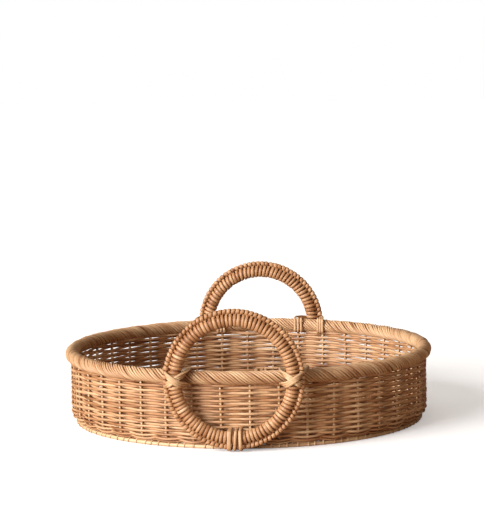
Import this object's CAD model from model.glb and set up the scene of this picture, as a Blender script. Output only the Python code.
import math

import bpy
import numpy as np
from mathutils import Matrix, Vector


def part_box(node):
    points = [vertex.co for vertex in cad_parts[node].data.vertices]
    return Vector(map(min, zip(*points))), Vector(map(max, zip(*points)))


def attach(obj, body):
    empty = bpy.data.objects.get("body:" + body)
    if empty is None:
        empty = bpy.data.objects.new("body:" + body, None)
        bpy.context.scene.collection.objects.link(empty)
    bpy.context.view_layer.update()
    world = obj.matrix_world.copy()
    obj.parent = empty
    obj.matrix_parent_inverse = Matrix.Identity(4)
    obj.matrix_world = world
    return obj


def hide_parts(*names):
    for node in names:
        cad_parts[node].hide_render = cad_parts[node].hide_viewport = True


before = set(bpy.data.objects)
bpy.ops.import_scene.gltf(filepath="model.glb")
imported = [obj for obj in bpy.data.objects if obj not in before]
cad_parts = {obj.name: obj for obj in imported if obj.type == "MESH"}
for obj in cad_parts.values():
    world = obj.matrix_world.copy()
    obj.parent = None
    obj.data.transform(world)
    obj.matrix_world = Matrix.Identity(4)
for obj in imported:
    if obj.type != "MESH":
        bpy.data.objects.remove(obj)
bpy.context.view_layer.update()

MM = 0.001
STAKES = 40
STAKE_STEP = 2 * math.pi / STAKES
BASE_STICKS = 20
CANE_R = 1.3 * MM
STAKE_R = 1.5 * MM
WEAVE_OUT = STAKE_R + CANE_R + 0.1 * MM
CORNER_R = 10 * MM


# Where things are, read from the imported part
# -------------------------------------------
def middle(node, axis):
    low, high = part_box(node)
    return (low[axis] + high[axis]) / 2


def reach(node, axis):
    low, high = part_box(node)
    return (high[axis] - low[axis]) / 2


def top(node):
    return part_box(node)[1][2]


def bottom(node):
    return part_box(node)[0][2]


RIM_R = reach("rim_strands", 2)
RIM_RING = reach("rim_strands", 0) - RIM_R
RIM_Z = middle("rim_strands", 2)
RIM_CORE = reach("rim_hoop", 2)

WALL_R = reach("side_stakes", 0) / math.cos(math.pi / STAKES) - STAKE_R
BASE_Z = bottom("side_stakes") + STAKE_R

CORE_R = reach("handle_front_core", 1)
CORE_RING = reach("handle_front_core", 0) - CORE_R
EDGE_R = reach("handle_front_edge_cane", 1)
EDGE_RING = reach("handle_front_edge_cane", 0) - EDGE_R
WRAP = reach("handle_front_wrap", 1) - CORE_R
HANDLE_Z = middle("handle_front_core", 2)
HANDLE_AT = {"front": middle("handle_front_core", 1), "back": middle("handle_back_core", 1)}


# Strands
# -------
def smooth_noise(t, count, seed):
    """Smooth closed noise: t runs from 0 to 1 over the loop, with count knots."""
    knots = np.random.default_rng(seed).normal(0, 1, count)
    x = (np.asarray(t) % 1.0) * count
    i = np.floor(x).astype(int) % count
    f = x - np.floor(x)
    f = f * f * (3 - 2 * f)
    return knots[i] * (1 - f) + knots[(i + 1) % count] * f


def tones_along(t, knots, seed, mean=0.5):
    """A strand's tone: long changes from one length of cane to the next, and short ones along it."""
    return mean + 0.17 * smooth_noise(t, knots, seed) + 0.09 * smooth_noise(t, knots * 4, seed + 1)


def unit(v):
    return v / np.maximum(np.linalg.norm(v, axis=-1, keepdims=True), 1e-12)


def around(angle, radius, height):
    angle, radius, height = np.broadcast_arrays(angle, radius, height)
    return np.stack([radius * np.cos(angle), radius * np.sin(angle), height], -1)


class Bundle:
    """The mesh of one piece, put together strand by strand.

    Each point keeps three facts for the material: where it is along and across its strand (cane_at), the
    strand's tone there (cane_tone), and how near it is to the strand's crest (cane_crest).
    """

    SHIFT_PER_STRAND = 0.613

    def __init__(self, name):
        self.name = name
        self.points, self.faces, self.grain, self.tone, self.crest = [], [], [], [], []
        self.count = 0

    def strand(self, path, outward, half_width, half_thick, tone, closed=False, sides=10):
        """Add an oval tube along path, half_thick towards outward and half_width across it."""
        path = np.asarray(path, float)
        n = len(path)
        if closed:
            tangent = np.roll(path, -1, 0) - np.roll(path, 1, 0)
        else:
            tangent = np.gradient(path, axis=0)
        tangent = unit(tangent)
        across = unit(np.cross(tangent, np.broadcast_to(outward, path.shape)))
        up = np.cross(across, tangent)
        turn = np.linspace(0, 2 * np.pi, sides, endpoint=False)
        wide = np.broadcast_to(half_width, n)[:, None] * np.sin(turn)
        thick = np.broadcast_to(half_thick, n)[:, None] * np.cos(turn)
        ring = path[:, None] + up[:, None] * thick[..., None] + across[:, None] * wide[..., None]

        run = np.concatenate([[0], np.cumsum(np.linalg.norm(np.diff(path, axis=0), axis=1))])
        run = run + self.SHIFT_PER_STRAND * len(self.points)
        grain = np.stack([np.broadcast_to(run[:, None], wide.shape), wide, thick], -1)

        i = np.arange(n if closed else n - 1)[:, None]
        j = np.arange(sides)[None]
        next_i = (i + 1) % n
        next_j = (j + 1) % sides
        quads = np.stack([i * sides + j, i * sides + next_j, next_i * sides + next_j, next_i * sides + j], -1)
        self.faces += (quads.reshape(-1, 4) + self.count).tolist()
        if not closed:
            first = self.count + np.arange(sides)
            self.faces.append(first[::-1].tolist())
            self.faces.append((first + (n - 1) * sides).tolist())
        self.points.append(ring.reshape(-1, 3))
        self.grain.append(grain.reshape(-1, 3))
        self.tone.append(np.repeat(np.broadcast_to(tone, n), sides))
        self.crest.append(np.tile(np.abs(np.cos(turn)), n))
        self.count += n * sides

    def finish(self, slot, material, *nodes):
        mesh = bpy.data.meshes.new(self.name)
        mesh.from_pydata(np.concatenate(self.points).tolist(), [], self.faces)
        for name, kind, field, values in (("cane_at", "FLOAT_VECTOR", "vector", self.grain),
                                          ("cane_tone", "FLOAT", "value", self.tone),
                                          ("cane_crest", "FLOAT", "value", self.crest)):
            attribute = mesh.attributes.new(name, kind, "POINT")
            attribute.data.foreach_set(field, np.concatenate(values).astype(np.float32).ravel())
        mesh.polygons.foreach_set("use_smooth", [True] * len(mesh.polygons))
        mesh.materials.append(material)
        piece = bpy.data.objects.new(self.name, mesh)
        bpy.context.scene.collection.objects.link(piece)
        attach(piece, "root")
        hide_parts(*nodes)


# Cane material
# -------------
def srgb(r, g, b):
    def linear(v):
        v /= 255
        return v / 12.92 if v <= 0.04045 else ((v + 0.055) / 1.055) ** 2.4
    return (linear(r), linear(g), linear(b), 1)


def grey(v):
    return (v, v, v, 1)


WHITE = grey(1)
BLACK = grey(0)
TONE_STOPS = (0.04, 0.27, 0.5, 0.73, 0.96)


def cane(name, tones, roughness=0.46, own_grain=True, groove=0.75):
    """Varnished cane. tones are (dark, brown, tan, honey, pale); the grain runs along each strand.

    groove is how dark the stain has settled where one strand lies against the next. Without own_grain the
    material is for the part's own solids, which carry no grain.
    """
    material = bpy.data.materials.new(name)
    material.use_nodes = True
    nodes, links = material.node_tree.nodes, material.node_tree.links
    nodes.clear()

    def node(kind, **values):
        made = nodes.new(kind)
        for key, value in values.items():
            if key in made.inputs:
                made.inputs[key].default_value = value
            else:
                setattr(made, key, value)
        return made

    def feed(socket, value):
        if isinstance(value, (int, float, tuple)):
            socket.default_value = value
        else:
            links.new(value, socket)

    def noise(stretch, scale, detail=3.0, rough=0.55):
        mapping = node("ShaderNodeMapping")
        mapping.inputs["Scale"].default_value = stretch
        links.new(place, mapping.inputs["Vector"])
        made = node("ShaderNodeTexNoise", Scale=scale, Detail=detail, Roughness=rough)
        links.new(mapping.outputs[0], made.inputs["Vector"])
        return made.outputs["Fac"]

    def calc(operation, a, b):
        made = node("ShaderNodeMath", operation=operation)
        feed(made.inputs[0], a)
        feed(made.inputs[1], b)
        return made.outputs[0]

    def centred(value, amount):
        return calc("MULTIPLY", calc("SUBTRACT", value, 0.5), amount)

    def ramp(value, *stops):
        made = node("ShaderNodeValToRGB")
        elements = made.color_ramp.elements
        while len(elements) < len(stops):
            elements.new(0.5)
        for element, (at, colour) in zip(elements, stops):
            element.position = at
            element.color = colour
        links.new(value, made.inputs["Fac"])
        return made.outputs["Color"]

    def mixed(kind, factor, a, b):
        made = node("ShaderNodeMix", data_type="RGBA", blend_type=kind)
        feed(made.inputs[0], factor)
        feed(made.inputs[6], a)
        feed(made.inputs[7], b)
        return made.outputs[2]

    if own_grain:
        place = node("ShaderNodeAttribute", attribute_name="cane_at").outputs["Vector"]
        tone = node("ShaderNodeAttribute", attribute_name="cane_tone").outputs["Fac"]
        fibre = (1, 26, 26)
    else:
        place = node("ShaderNodeTexCoord").outputs["Object"]
        tone = noise((1, 1, 1), 30, 2.0)
        fibre = (1, 1, 1)

    streaks = noise(fibre, 60, 4.0, 0.6)
    fine = noise(fibre, 210, 3.0, 0.6)
    patches = noise((1, 5, 5), 34, 2.0)
    specks = noise((1, 8, 8), 95, 2.0)
    value = calc("ADD", calc("ADD", tone, centred(patches, 0.55)), centred(streaks, 0.55))
    colour = ramp(value, *zip(TONE_STOPS, tones))
    lines = ramp(fine, (0.36, (0.62, 0.5, 0.4, 1)), (0.52, WHITE))
    colour = mixed("MULTIPLY", 0.55, colour, lines)
    colour = mixed("MIX", ramp(specks, (0.70, BLACK), (0.80, grey(0.55))), colour, tones[0])
    if own_grain:
        crest = node("ShaderNodeAttribute", attribute_name="cane_crest").outputs["Fac"]
        stain = ramp(crest, (0.0, (0.30, 0.17, 0.10, 1)), (0.34, (0.52, 0.36, 0.25, 1)), (0.74, WHITE))
        colour = mixed("MULTIPLY", groove, colour, stain)

    shader = node("ShaderNodeBsdfPrincipled")
    shader.inputs["Specular IOR Level"].default_value = 0.42
    links.new(colour, shader.inputs["Base Color"])
    gloss = ramp(streaks, (0.3, grey(roughness + 0.1)), (0.7, grey(roughness - 0.07)))
    links.new(gloss, shader.inputs["Roughness"])
    bump = node("ShaderNodeBump", Strength=0.35, Distance=0.25 * MM)
    links.new(calc("ADD", streaks, calc("MULTIPLY", fine, 0.6)), bump.inputs["Height"])
    links.new(bump.outputs["Normal"], shader.inputs["Normal"])
    output = node("ShaderNodeOutputMaterial")
    links.new(shader.outputs[0], output.inputs["Surface"])
    return material


DARK = srgb(132, 84, 48)
BROWN = srgb(182, 133, 92)
TAN = srgb(206, 163, 123)
HONEY = srgb(218, 179, 137)
PALE = srgb(230, 196, 153)
CREAM = srgb(246, 214, 172)
TONES = (DARK, BROWN, TAN, HONEY, PALE)
PALE_TONES = (BROWN, TAN, HONEY, PALE, CREAM)
WARM_TONES = (srgb(124, 78, 46), srgb(172, 121, 80), srgb(194, 146, 104), srgb(208, 162, 119),
              srgb(224, 186, 146))
CORE_TONES = (srgb(84, 46, 22), srgb(120, 72, 38), srgb(142, 90, 52), srgb(160, 106, 64),
              srgb(178, 124, 80))

wall_material = cane("cane_wall", TONES)
chaser_material = cane("cane_wall_warm", WARM_TONES)
stake_material = cane("cane_stake", TONES, 0.5)
rim_material = cane("cane_rim", TONES, 0.42)
handle_material = cane("cane_handle", WARM_TONES, 0.42, groove=0.42)
lashing_material = cane("cane_lashing", PALE_TONES, 0.42)
base_material = cane("cane_base", WARM_TONES, 0.5)
core_material = cane("cane_core", CORE_TONES, 0.55, own_grain=False)

KEPT_SOLIDS = ("rim_hoop", "handle_front_core", "handle_back_core", "handle_front_edge_cane",
               "handle_back_edge_cane", "base_sticks_slit", "base_sticks_through")
for name in KEPT_SOLIDS:
    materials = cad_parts[name].data.materials
    materials.clear()
    materials.append(core_material)


# Wall weavers: each strand climbs one rise a turn, outside one stake and inside the next
# ---------------------------------------------------------------------------------------
RISE = 5.4 * MM
STEP_RISE = RISE / STAKES
FIRST_Z = bottom("wall_weaver_first") + CANE_R + 0.064 * MM
STEPS_BELOW = 20
STEPS_UP = 381
PER_STEP = 12
WALL_SWING = 0.92 * WEAVE_OUT
WALL_CREST = 2.0
WALL_TALL, WALL_THICK = 1.15, 0.86
END_STEPS, END_SIZE = 5, 0.45


def wall_weaver(name, turned, lift, seed, slot, material):
    step = np.arange(-STEPS_BELOW * PER_STEP, STEPS_UP * PER_STEP + 1) / PER_STEP
    t = (step + STEPS_BELOW) / (STEPS_UP + STEPS_BELOW + 1)
    swing = np.cos(np.pi * step)
    out = WALL_SWING * np.sign(swing) * np.abs(swing) ** WALL_CREST
    out = out * (1 + 0.06 * smooth_noise(t, 300, seed))
    height = FIRST_Z + lift + STEP_RISE * step
    height = height + 0.13 * MM * smooth_noise(t, 260, seed + 2)
    height = height + 0.16 * MM * smooth_noise(t, 800, seed + 3)
    taper = (np.clip((step + STEPS_BELOW) / END_STEPS, END_SIZE, 1)
             * np.clip((STEPS_UP - step) / END_STEPS, END_SIZE, 1))
    size = CANE_R * taper * (1 + 0.07 * smooth_noise(t, 180, seed + 4))
    angle = STAKE_STEP * (step + 0.5) + turned
    bundle = Bundle(name)
    bundle.strand(around(angle, WALL_R + out, height), around(angle, 1.0, 0.0), size * WALL_TALL,
                  size * WALL_THICK, tones_along(t, 110, seed + 5))
    bundle.finish(slot, material, name.replace("_cane", ""))


wall_weaver("wall_weaver_first_cane", 0.0, 0.0, 11, "wall_cane", wall_material)
wall_weaver("wall_weaver_second_cane", math.pi + STAKE_STEP, STEP_RISE, 23, "wall_cane_dark", chaser_material)


# Corner rows: the weaving goes on round the corner between wall and base
# -----------------------------------------------------------------------
# Each row is (degrees round the corner from the base, share of the full swing)
OUTER_ROWS = ((72.4, 0.95), (49.8, 0.8), (27.2, 0.55), (4.6, 0.5))
INNER_ROWS = ((83.7, 0.95), (61.1, 0.9), (38.5, 0.65), (15.9, 0.5))


def corner_rows(name, rows, side, seed, material, node):
    bundle = Bundle(name)
    step = np.arange(STAKES * PER_STEP) / PER_STEP
    t = step / STAKES
    angle = STAKE_STEP * (step + 0.5)
    for k, (lean, share) in enumerate(rows):
        lean = math.radians(lean)
        out = WEAVE_OUT * share * side * np.cos(np.pi * step) * (1 + 0.08 * smooth_noise(t, 34, seed + k))
        radius = WALL_R - CORNER_R + (CORNER_R + out) * math.sin(lean)
        height = BASE_Z + CORNER_R - (CORNER_R + out) * math.cos(lean)
        height = height + 0.14 * MM * smooth_noise(t, 40, seed + 20 + k)
        size = CANE_R * (1 + 0.06 * smooth_noise(t, 24, seed + 40 + k))
        face = around(angle, math.sin(lean), -math.cos(lean))
        tone = tones_along(t, 12, seed + 60 + k)
        bundle.strand(around(angle, radius, height), face, size, size, tone, closed=True)
    bundle.finish("wall_cane", material, node)


corner_rows("corner_rows_outer", OUTER_ROWS, 1, 101, wall_material, "outer_wale")
corner_rows("corner_rows_inner", INNER_ROWS, -1, 181, chaser_material, "inner_wale")


# Side stakes: from beside a base stick, round the corner and up the wall
# -----------------------------------------------------------------------
STAKE_TOP = top("side_stakes")
BESIDE_STICK = 3.5 * MM
STRAIGHT_RADII = (120 * MM, 140 * MM)
SPREAD_RADII = (170 * MM, 176 * MM)
STRAIGHT_ABOVE = 4 * MM
STAKE_SWAY = 0.0016
BEND_POINTS = 9
RISE_POINTS = 12


def side_stakes():
    bundle = Bundle("side_stakes_cane")
    bend = np.linspace(0, math.pi / 2, BEND_POINTS)
    rise = np.linspace(BASE_Z + CORNER_R + STRAIGHT_ABOVE, STAKE_TOP, RISE_POINTS)
    radius = np.concatenate([WALL_R - CORNER_R + CORNER_R * np.sin(bend), np.full(RISE_POINTS, WALL_R)])
    height = np.concatenate([BASE_Z + CORNER_R - CORNER_R * np.cos(bend), rise])
    for k in range(STAKES):
        way = 1 if k % 2 == 0 else -1
        spread = way * STAKE_STEP / 2
        flat = [(r, way * BESIDE_STICK, BASE_Z) for r in STRAIGHT_RADII]
        flat += [(r * math.cos(spread), r * math.sin(spread), BASE_Z) for r in SPREAD_RADII]
        sway = np.zeros(len(radius))
        sway[BEND_POINTS:] = STAKE_SWAY * smooth_noise(np.linspace(0, 0.9, RISE_POINTS), 5, 300 + k)
        path = np.concatenate([np.array(flat), around(spread + sway, radius, height)])
        outward = np.concatenate([np.tile([0, 0, -1.0], (len(flat), 1)),
                                  around(spread, np.sin(bend), -np.cos(bend)),
                                  np.tile([math.cos(spread), math.sin(spread), 0], (RISE_POINTS, 1))])
        stick = (k // 2) * 2 * STAKE_STEP
        c, s = math.cos(stick), math.sin(stick)
        turned = np.array([[c, s, 0], [-s, c, 0], [0, 0, 1]])
        size = STAKE_R * (1 + 0.05 * math.sin(2.4 * k))
        bundle.strand(path @ turned, outward @ turned, size, size, 0.84 + 0.12 * math.sin(5.1 * k))
    bundle.finish("stake_cane", stake_material, "side_stakes")


side_stakes()


# Base rounds: two strands chase each other over and under the sticks, and then the stakes
# ----------------------------------------------------------------------------------------
BASE_START = 16.5 * MM
BASE_PITCH = 2 * 2.66 * MM
BASE_END = 180.5 * MM
SPREAD_R = 151 * MM
POINTS_PER_ROUND = 160
OVER_STICK = 3.1 * MM
OVER_STAKE = 2.7 * MM


def base_round(name, first, seed, material, node):
    rounds = (BASE_END - BASE_START) / BASE_PITCH
    u = np.arange(int(rounds * POINTS_PER_ROUND)) / POINTS_PER_ROUND
    t = u / rounds
    angle = 2 * math.pi * u + (0 if first else math.pi)
    radius = BASE_START + BASE_PITCH * u
    among_sticks = radius < SPREAD_R
    waves = np.where(among_sticks, np.cos(angle * BASE_STICKS / 2),
                     np.cos((angle - STAKE_STEP / 2) * STAKES / 2))
    side = 1 if first else -1
    height = BASE_Z + side * waves * np.where(among_sticks, OVER_STICK, OVER_STAKE)
    radius = radius + 0.2 * MM * smooth_noise(t, 500, seed + 1)
    size = CANE_R * (1 + 0.06 * smooth_noise(t, 240, seed))
    bundle = Bundle(name)
    tone = tones_along(t, 120, seed + 2)
    bundle.strand(around(angle, radius, height), (0, 0, 1.0), size, size * 0.92, tone, sides=8)
    bundle.finish("base_cane", material, node)


base_round("base_round_upper_cane", True, 401, base_material, "base_round_upper")
base_round("base_round_lower_cane", False, 431, wall_material, "base_round_lower")


# Foot: a rod with three small ties to each stake, worn flat where it stands
# --------------------------------------------------------------------------
FOOT_R = 2.2 * MM
FOOT_RING = reach("foot_rod", 0) - 1.1 * MM
FOOT_Z = top("foot_rod") - 1.9 * MM
FOOT_POINTS = 480
TIES_PER_STAKE = 3
TIE_LEAN = 0.008
TIE_FROM, TIE_TO = -0.62 * math.pi, 1.16 * math.pi
TIE_POINTS = 17
TIE_HALF_WIDTH, TIE_HALF_THICK = 1.1 * MM, 0.5 * MM


def foot():
    bundle = Bundle("foot_rod_cane")
    t = np.arange(FOOT_POINTS) / FOOT_POINTS
    angle = 2 * math.pi * t
    bundle.strand(around(angle, FOOT_RING, FOOT_Z), around(angle, 1.0, 0.0), FOOT_R, FOOT_R,
                  tones_along(t, 14, 501, 0.66), closed=True, sides=14)
    wind = np.linspace(TIE_FROM, TIE_TO, TIE_POINTS)
    tie_r = FOOT_R + 0.35 * MM
    for k in range(STAKES):
        for n in range(TIES_PER_STAKE):
            place = k + (n + 0.5) / TIES_PER_STAKE + 0.06 * math.sin(5.3 * k + 2 * n)
            at = STAKE_STEP * place + TIE_LEAN * wind / math.pi
            loop = around(at, FOOT_RING + tie_r * np.cos(wind), FOOT_Z + tie_r * np.sin(wind))
            face = around(at, np.cos(wind), np.sin(wind))
            tone = 0.66 + 0.14 * math.sin(3.7 * k + n)
            bundle.strand(loop, face, TIE_HALF_WIDTH, TIE_HALF_THICK, tone, sides=8)
    for points in bundle.points:
        points[:, 2] = np.maximum(points[:, 2], 0)
    bundle.finish("base_cane", lashing_material, "foot_rod")


foot()


# Rim: strands twisted round the hoop
# -----------------------------------
RIM_STRANDS = 12
RIM_WINDS = 26
POINTS_PER_WIND = 32
RIM_HALF_WIDTH = 1.22 * MM
SWELL_AT_STAKES = 0.22 * MM
SWELL_LIMIT = 0.3 * MM


def rim():
    bundle = Bundle("rim_twist_cane")
    half = (RIM_R - RIM_CORE) / 2
    t = np.arange(RIM_WINDS * POINTS_PER_WIND) / (RIM_WINDS * POINTS_PER_WIND)
    angle = 2 * math.pi * t
    over_stakes = SWELL_AT_STAKES * np.sin(STAKES * angle + 0.6 * smooth_noise(t, 40, 640))
    for k in range(RIM_STRANDS):
        wind = -angle * RIM_WINDS + 2 * math.pi * k / RIM_STRANDS + 0.05 * smooth_noise(t, 60, 600 + k)
        swell = over_stakes + 0.12 * MM * smooth_noise(t, 150, 620 + k)
        tube = RIM_CORE + half + np.minimum(swell, SWELL_LIMIT)
        path = around(angle, RIM_RING + tube * np.cos(wind), RIM_Z + tube * np.sin(wind))
        face = around(angle, np.cos(wind), np.sin(wind))
        wide = RIM_HALF_WIDTH * (1 + 0.05 * smooth_noise(t, 90, 660 + k))
        seed = 680 + 3 * k
        tone = 0.60 + 0.14 * smooth_noise(t, 40, seed) + 0.09 * smooth_noise(t, 160, seed + 1)
        bundle.strand(path, face, wide, half, tone, closed=True)
    bundle.finish("rim_cane", rim_material, "rim_strands")


rim()


# Ring handles: one strand winds in figures of eight round the core and the edge cane
# -----------------------------------------------------------------------------------
WRAP_TURNS = {"front": 94, "back": 87}
WRAP_COVER = 164 * MM
INNER_WIDTH, OUTER_WIDTH, CROSS_WIDTH = 1.02, 0.84, 0.98
EDGE_WIDTHS = (1.10, 1.18)
CORE_LAG = 0.06
EDGE_LAG = 0.5
BACK_LAG = CORE_LAG + EDGE_LAG
BEND_SHARES = np.linspace(0, 1, 15)
CROSS_SHARES = (0.33, 0.67)


def figure_eight():
    """One turn, as rows of (radius in the ring, place towards the front, the normal's two parts, width, lag).

    The strand lies square across the core, dips between the two canes, and slants round the edge cane. Its
    lag is how far it has got from this turn to the next.
    """
    core_path = CORE_R + WRAP / 2
    edge_path = EDGE_R + WRAP / 2
    lean = math.acos((core_path + edge_path) / (EDGE_RING - CORE_RING))
    core_side = (CORE_RING + core_path * math.cos(lean), core_path * math.sin(lean))
    edge_side = (EDGE_RING - edge_path * math.cos(lean), edge_path * math.sin(lean))
    rows = []

    def bend(ring, radius, start, end, widths, lags, face):
        for share in BEND_SHARES:
            a = start + (end - start) * share
            c, s = math.cos(a), math.sin(a)
            width = widths[0] + (widths[1] - widths[0]) * share ** 2
            lag = lags[0] + (lags[1] - lags[0]) * share
            rows.append((ring + radius * c, radius * s, face * c, face * s, width, lag))

    def cross(start, end, way, lag):
        for share in CROSS_SHARES:
            u = start[0] + (end[0] - start[0]) * share
            v = start[1] + (end[1] - start[1]) * share
            rows.append((u, v, math.cos(lean), way * math.sin(lean), CROSS_WIDTH, lag))

    bend(CORE_RING, core_path, math.pi, lean, (INNER_WIDTH, OUTER_WIDTH), (0.0, CORE_LAG), 1)
    cross(core_side, (edge_side[0], -edge_side[1]), 1, CORE_LAG)
    bend(EDGE_RING, edge_path, math.pi + lean, 3 * math.pi - lean, EDGE_WIDTHS, (CORE_LAG, BACK_LAG), -1)
    cross(edge_side, (core_side[0], -core_side[1]), -1, BACK_LAG)
    bend(CORE_RING, core_path, -lean, -math.pi, (OUTER_WIDTH, INNER_WIDTH), (BACK_LAG, 1.0), 1)
    return np.array(rows[:-1])


def handle_wrap(end, seed):
    front = -1 if end == "front" else 1
    turns = WRAP_TURNS[end]
    rows = figure_eight()
    u, v, nu, nv, wide, lag = np.tile(rows, (turns, 1)).T
    t = (np.repeat(np.arange(turns), len(rows)) + lag) / turns
    angle = 2 * math.pi * t + 0.004 * smooth_noise(t, turns, seed)
    grow = 0.10 * MM * smooth_noise(t, turns * 2, seed + 1)
    u = u + grow * nu
    v = v + grow * nv
    face = np.stack([nu * np.cos(angle), front * nv, nu * np.sin(angle)], -1)
    path = np.stack([u * np.cos(angle), HANDLE_AT[end] + front * v, HANDLE_Z + u * np.sin(angle)], -1)
    half_width = WRAP_COVER / turns * wide * (1 + 0.06 * smooth_noise(t, turns, seed + 2))
    half_thick = WRAP * 0.46 * (1 + 0.05 * smooth_noise(t, turns, seed + 3))
    tone = 0.52 + 0.15 * smooth_noise(t, turns, seed + 4) + 0.06 * smooth_noise(t, turns * 4, seed + 5)
    bundle = Bundle(f"handle_{end}_wrap_cane")
    bundle.strand(path, face, half_width, half_thick, tone, closed=True)
    bundle.finish("handle_cane", handle_material, f"handle_{end}_wrap")


handle_wrap("front", 701)
handle_wrap("back", 741)


# Lashings
# --------
LASH_STRANDS = 3
LASH_HALF_WIDTH, LASH_HALF_THICK = 1.5 * MM, 0.85 * MM
LOOP_HALF_THICK = 0.75 * MM
LOOP_MIDDLE_Z = 12 * MM
LASH_OVER = RIM_Z + RIM_R + 1.1 * MM
LASH_UNDER = RIM_Z - RIM_R - 1.0 * MM
RIM_INNER_R = 183.6 * MM
TIP_LEFT_Y, TIP_RIGHT_Y = 200 * MM, 199 * MM
ARM_LEFT, ARM_RIGHT = 55.5 * MM, 67 * MM
ARM_HIGH, ARM_LOW = 78.5 * MM, 70.5 * MM
ARM_SPACING = 2.1 * MM
# Where the first strand goes round the rim and how far apart the strands are, left and then right of the leg
RIM_SPOTS = {
    "front": (50.2 * MM, 2.0 * MM, 69.8 * MM, 2.0 * MM),
    "back": (48.6 * MM, 3.6 * MM, 68.4 * MM, 2.6 * MM),
}

# Where each loop at the bottom of a ring is, how far it leans, and half its width
BASE_LOOPS = (
    (-5.5 * MM, 0.6 * MM, 2.3 * MM),
    (0.6 * MM, 1.8 * MM, 1.5 * MM),
    (5.9 * MM, -0.5 * MM, 1.7 * MM),
)


def rounded(points):
    """A smooth closed line that follows the corners of a route."""
    points = np.asarray(points, float)
    for _ in range(3):
        after = np.roll(points, -1, 0)
        points = np.stack([points * 0.75 + after * 0.25, points * 0.25 + after * 0.75], 1)
        points = points.reshape(-1, after.shape[1])
    return points


def lash(bundle, path, centre, half_width, half_thick, mean, seed, sides):
    """A loop whose flat side faces away from a line through centre that runs left to right."""
    face = path - centre
    face[:, 0] = 0
    tone = mean + 0.12 * smooth_noise(np.arange(len(path)) / len(path), 9, seed)
    bundle.strand(path, face, half_width, half_thick, tone, closed=True, sides=sides)


def rim_lashing(end, side):
    front = -1 if end == "front" else 1
    name = f"rim_lashing_{end}_{'right' if side > 0 else 'left'}"
    bundle = Bundle(f"{name}_cane")
    leg_front = CORE_R + abs(HANDLE_AT[end]) + WRAP
    first, second = leg_front + 1.0 * MM, leg_front + 2.6 * MM
    left_spot, left_spacing, right_spot, right_spacing = RIM_SPOTS[end]
    for n in range(LASH_STRANDS):
        rise = ARM_SPACING * (n - 1)
        left, right = left_spot - left_spacing * n, right_spot + right_spacing * n
        inner_left = math.sqrt(RIM_INNER_R ** 2 - left ** 2)
        inner_right = math.sqrt(RIM_INNER_R ** 2 - right ** 2)
        tip_left, tip_right = left + 1 * MM, right - 1 * MM
        tip_high, tip_low = LASH_OVER - 2 * MM + rise, LASH_UNDER + 2 * MM + rise
        route = [
            (left, inner_left, RIM_Z),
            (left, inner_left, LASH_OVER),
            (left, inner_left + 7 * MM, LASH_OVER + 0.6 * MM),
            (tip_left, TIP_LEFT_Y, tip_high),
            (ARM_LEFT, first, ARM_HIGH + rise),
            (ARM_RIGHT, first, ARM_LOW + rise),
            (tip_right, TIP_RIGHT_Y, tip_low),
            (right, inner_right + 6 * MM, LASH_UNDER),
            (right, inner_right, LASH_UNDER + 2 * MM),
            (right, inner_right, RIM_Z),
            (right, inner_right, LASH_OVER),
            (right, inner_right + 7 * MM, LASH_OVER + 0.6 * MM),
            (tip_right, TIP_RIGHT_Y, tip_high),
            (ARM_RIGHT, second, ARM_HIGH + rise),
            (ARM_LEFT, second, ARM_LOW + rise),
            (tip_left, TIP_LEFT_Y, tip_low),
            (left, inner_left + 6 * MM, LASH_UNDER),
            (left, inner_left, LASH_UNDER + 2 * MM),
        ]
        path = rounded(route) * np.array([side, front, 1])
        centre = np.array([0, front * RIM_RING, RIM_Z])
        lash(bundle, path, centre, LASH_HALF_WIDTH, LASH_HALF_THICK, 0.50, 801 + n, sides=10)
    bundle.finish("lashing_cane", lashing_material, name)


def base_lashing(end):
    front = -1 if end == "front" else 1
    name = f"base_lashing_{end}"
    bundle = Bundle(f"{name}_cane")
    low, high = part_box(name)
    near, far = sorted((abs(low[1]), abs(high[1])))
    peak = high[2]
    line = rounded([
        (near, peak),
        (far - 3 * MM, peak),
        (far, peak - 2 * MM),
        (far, 7 * MM),
        (far - 4.5 * MM, 1.2 * MM),
        (near + 11 * MM, 1.2 * MM),
        (near + 5 * MM, 4.4 * MM),
        (near, 5.2 * MM),
        (near, 13 * MM),
    ])
    centre = np.array([0, front * (near + far) / 2, LOOP_MIDDLE_Z])
    for n, (at, lean, half_width) in enumerate(BASE_LOOPS):
        path = np.stack([at + lean * (line[:, 1] / peak - 0.5), front * line[:, 0], line[:, 1]], -1)
        lash(bundle, path, centre, half_width, LOOP_HALF_THICK, 0.42, 861 + n, sides=12)
    bundle.finish("lashing_cane", lashing_material, name)


for end in ("front", "back"):
    base_lashing(end)
    for side in (-1, 1):
        rim_lashing(end, side)


# Floor and light
# ---------------
def sun(name, azimuth, elevation, strength, softness):
    light = bpy.data.lights.new(name, "SUN")
    light.energy = strength
    light.angle = math.radians(softness)
    lamp = bpy.data.objects.new(name, light)
    bpy.context.scene.collection.objects.link(lamp)
    a, e = math.radians(azimuth), math.radians(elevation)
    toward = Vector((math.sin(a) * math.cos(e), -math.cos(a) * math.cos(e), math.sin(e)))
    lamp.rotation_euler = toward.to_track_quat("Z", "Y").to_euler()


def seen_directly(tree, direct, otherwise):
    """A colour that is one thing in plain sight, and another as a source of light for the tray."""
    ray = tree.nodes.new("ShaderNodeLightPath")
    mix = tree.nodes.new("ShaderNodeMix")
    mix.data_type = "RGBA"
    mix.inputs[6].default_value = otherwise
    mix.inputs[7].default_value = direct
    tree.links.new(ray.outputs["Is Camera Ray"], mix.inputs[0])
    return mix.outputs[2]


ROOM_LIGHT = (0.2, 0.16, 0.124, 1)
FLOOR_LIGHT = (0.52, 0.35, 0.23, 1)

sun("key", azimuth=-47, elevation=18, strength=5.4, softness=44)
sun("top", azimuth=-20, elevation=74, strength=0.35, softness=80)

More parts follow.
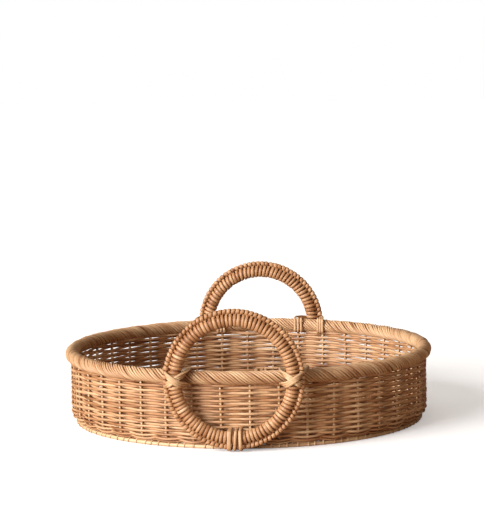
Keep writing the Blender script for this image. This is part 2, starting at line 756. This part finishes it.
world = bpy.data.worlds.new("studio")
bpy.context.scene.world = world
world.use_nodes = True
world_tree = world.node_tree
backdrop = seen_directly(world_tree, WHITE, ROOM_LIGHT)
world_tree.links.new(backdrop, world_tree.nodes["Background"].inputs["Color"])
world_tree.nodes["Background"].inputs["Strength"].default_value = 1.0

FLOOR_HALF = 6
FLOOR_GAP = 0.3 * MM
floor_mesh = bpy.data.meshes.new("floor")
floor_corners = [(-FLOOR_HALF, -FLOOR_HALF, 0), (FLOOR_HALF, -FLOOR_HALF, 0), (FLOOR_HALF, FLOOR_HALF, 0),
                 (-FLOOR_HALF, FLOOR_HALF, 0)]
floor_mesh.from_pydata(floor_corners, [], [(0, 1, 2, 3)])
floor = bpy.data.objects.new("floor", floor_mesh)
bpy.context.scene.collection.objects.link(floor)
floor.location.z = -FLOOR_GAP
floor_material = bpy.data.materials.new("floor")
floor_material.use_nodes = True
floor_tree = floor_material.node_tree
floor_inputs = floor_tree.nodes["Principled BSDF"].inputs
floor_inputs["Roughness"].default_value = 0.9
floor_inputs["Specular IOR Level"].default_value = 0.1
floor_colour = seen_directly(floor_tree, grey(0.99), FLOOR_LIGHT)
floor_tree.links.new(floor_colour, floor_inputs["Base Color"])
floor_glow = seen_directly(floor_tree, grey(0.35), BLACK)
floor_tree.links.new(floor_glow, floor_inputs["Emission Color"])
floor_inputs["Emission Strength"].default_value = 1.0
floor_mesh.materials.append(floor_material)

bpy.context.scene.view_settings.view_transform = "Standard"
bpy.context.scene.view_settings.look = "None"


# Camera: a little to the right of the front and above the rim, aimed above the tray
# --------------------------------------------------------------------------------
SENSOR_WIDTH = 36
LENS = 193.76
DISTANCE = 2.860
TARGET_Z = 0.06
AZIMUTH, ELEVATION, ROLL = math.radians(4.3), math.radians(9.0), math.radians(0.9)
AIM_LEFT, AIM_UP = math.radians(0.11), math.radians(2.1435)

back_way = Vector((math.sin(AZIMUTH) * math.cos(ELEVATION), -math.cos(AZIMUTH) * math.cos(ELEVATION),
                   math.sin(ELEVATION)))
right_way = (-back_way).cross(Vector((0, 0, 1))).normalized()
up_way = right_way.cross(-back_way)
axes = Matrix((right_way, up_way, back_way)).transposed()
look = Matrix.Rotation(AIM_LEFT, 3, "Y") @ Matrix.Rotation(AIM_UP, 3, "X") @ Matrix.Rotation(-ROLL, 3, "Z")
camera_data = bpy.data.cameras.new("camera")
camera_data.sensor_fit = "HORIZONTAL"
camera_data.sensor_width = SENSOR_WIDTH
camera_data.lens = LENS
camera_data.clip_end = 30
camera = bpy.data.objects.new("camera", camera_data)
bpy.context.scene.collection.objects.link(camera)
camera_at = Vector((0, 0, TARGET_Z)) + back_way * DISTANCE
camera.matrix_world = Matrix.Translation(camera_at) @ (axes @ look).to_4x4()
bpy.context.scene.camera = camera
